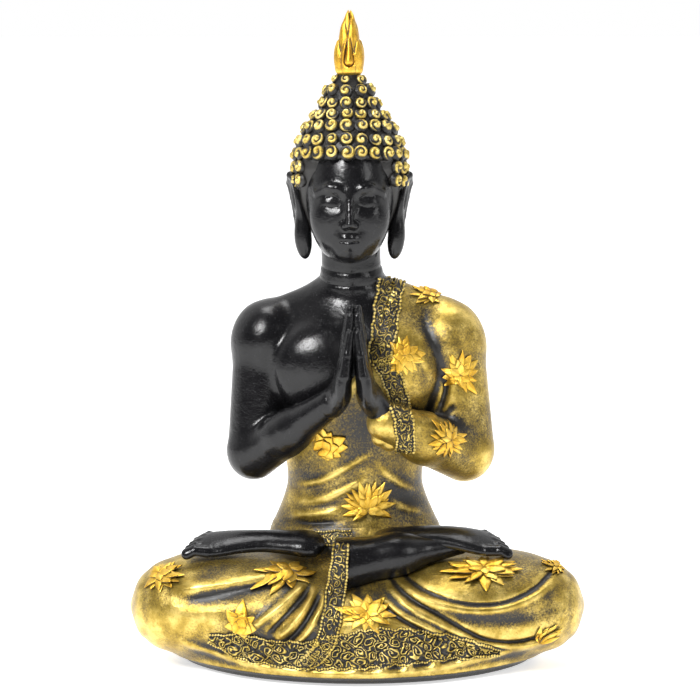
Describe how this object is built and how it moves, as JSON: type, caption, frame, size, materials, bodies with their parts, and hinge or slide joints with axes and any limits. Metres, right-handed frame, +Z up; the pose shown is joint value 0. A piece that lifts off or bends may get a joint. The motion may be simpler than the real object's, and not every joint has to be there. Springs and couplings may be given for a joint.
{
  "type": "seated buddha statue",
  "caption": "Seated figure in lotus position with palms pressed together, bare right shoulder, draped robe with raised lotus flowers, curled hair and flame finial.",
  "frame": {"origin": "centre of the underside pad's resting face", "axes": "+Z up, -Y the way the figure faces, +X the figure's own left"},
  "size_m": [0.152, 0.0915, 0.2184],
  "materials": {
    "skin_black": "black resin, satin to gloss lacquer",
    "robe_gold": "antique gold brushed over black resin",
    "lace_gold": "gold on the raised scrolls and beads, black ground",
    "hair_gold": "gold on the curls, black between them",
    "plate": "plain resin closing plate",
    "felt": "black felt",
    "dowel": "plain brass pin, hidden inside"
  },
  "bodies": {
    "root": {"lap_casting": "robe_gold", "robe_drape": "robe_gold", "left_upper_sleeve": "robe_gold", "left_elbow_sleeve": "robe_gold", "sleeve_cuff": "robe_gold", "flame_finial": "robe_gold", "lotus_shoulder": "robe_gold", "lotus_breast": "robe_gold", "lotus_upper_sleeve": "robe_gold", "lotus_elbow": "robe_gold", "lotus_ribs": "robe_gold", "lotus_waist": "robe_gold", "lotus_right_knee": "robe_gold", "lotus_right_thigh": "robe_gold", "lotus_right_shin": "robe_gold", "lotus_lap": "robe_gold", "lotus_left_thigh": "robe_gold", "lotus_left_knee": "robe_gold", "front_sash": "lace_gold", "hem_border": "lace_gold", "shoulder_border": "lace_gold", "cuff_border": "lace_gold", "hair_cap": "hair_gold", "topknot": "hair_gold", "hair_curls": "hair_gold", "topknot_curls": "hair_gold", "torso_casting": "skin_black", "right_upper_arm": "skin_black", "right_forearm": "skin_black", "right_hand": "skin_black", "left_hand": "skin_black", "head_casting": "skin_black", "right_ear": "skin_black", "left_ear": "skin_black", "right_shin": "skin_black", "right_foot": "skin_black", "left_foot": "skin_black", "felt_pad": "felt", "base_plate": "plate", "waist_dowel": "dowel", "neck_dowel": "dowel", "finial_dowel": "dowel"}
  },
  "joints": []
}
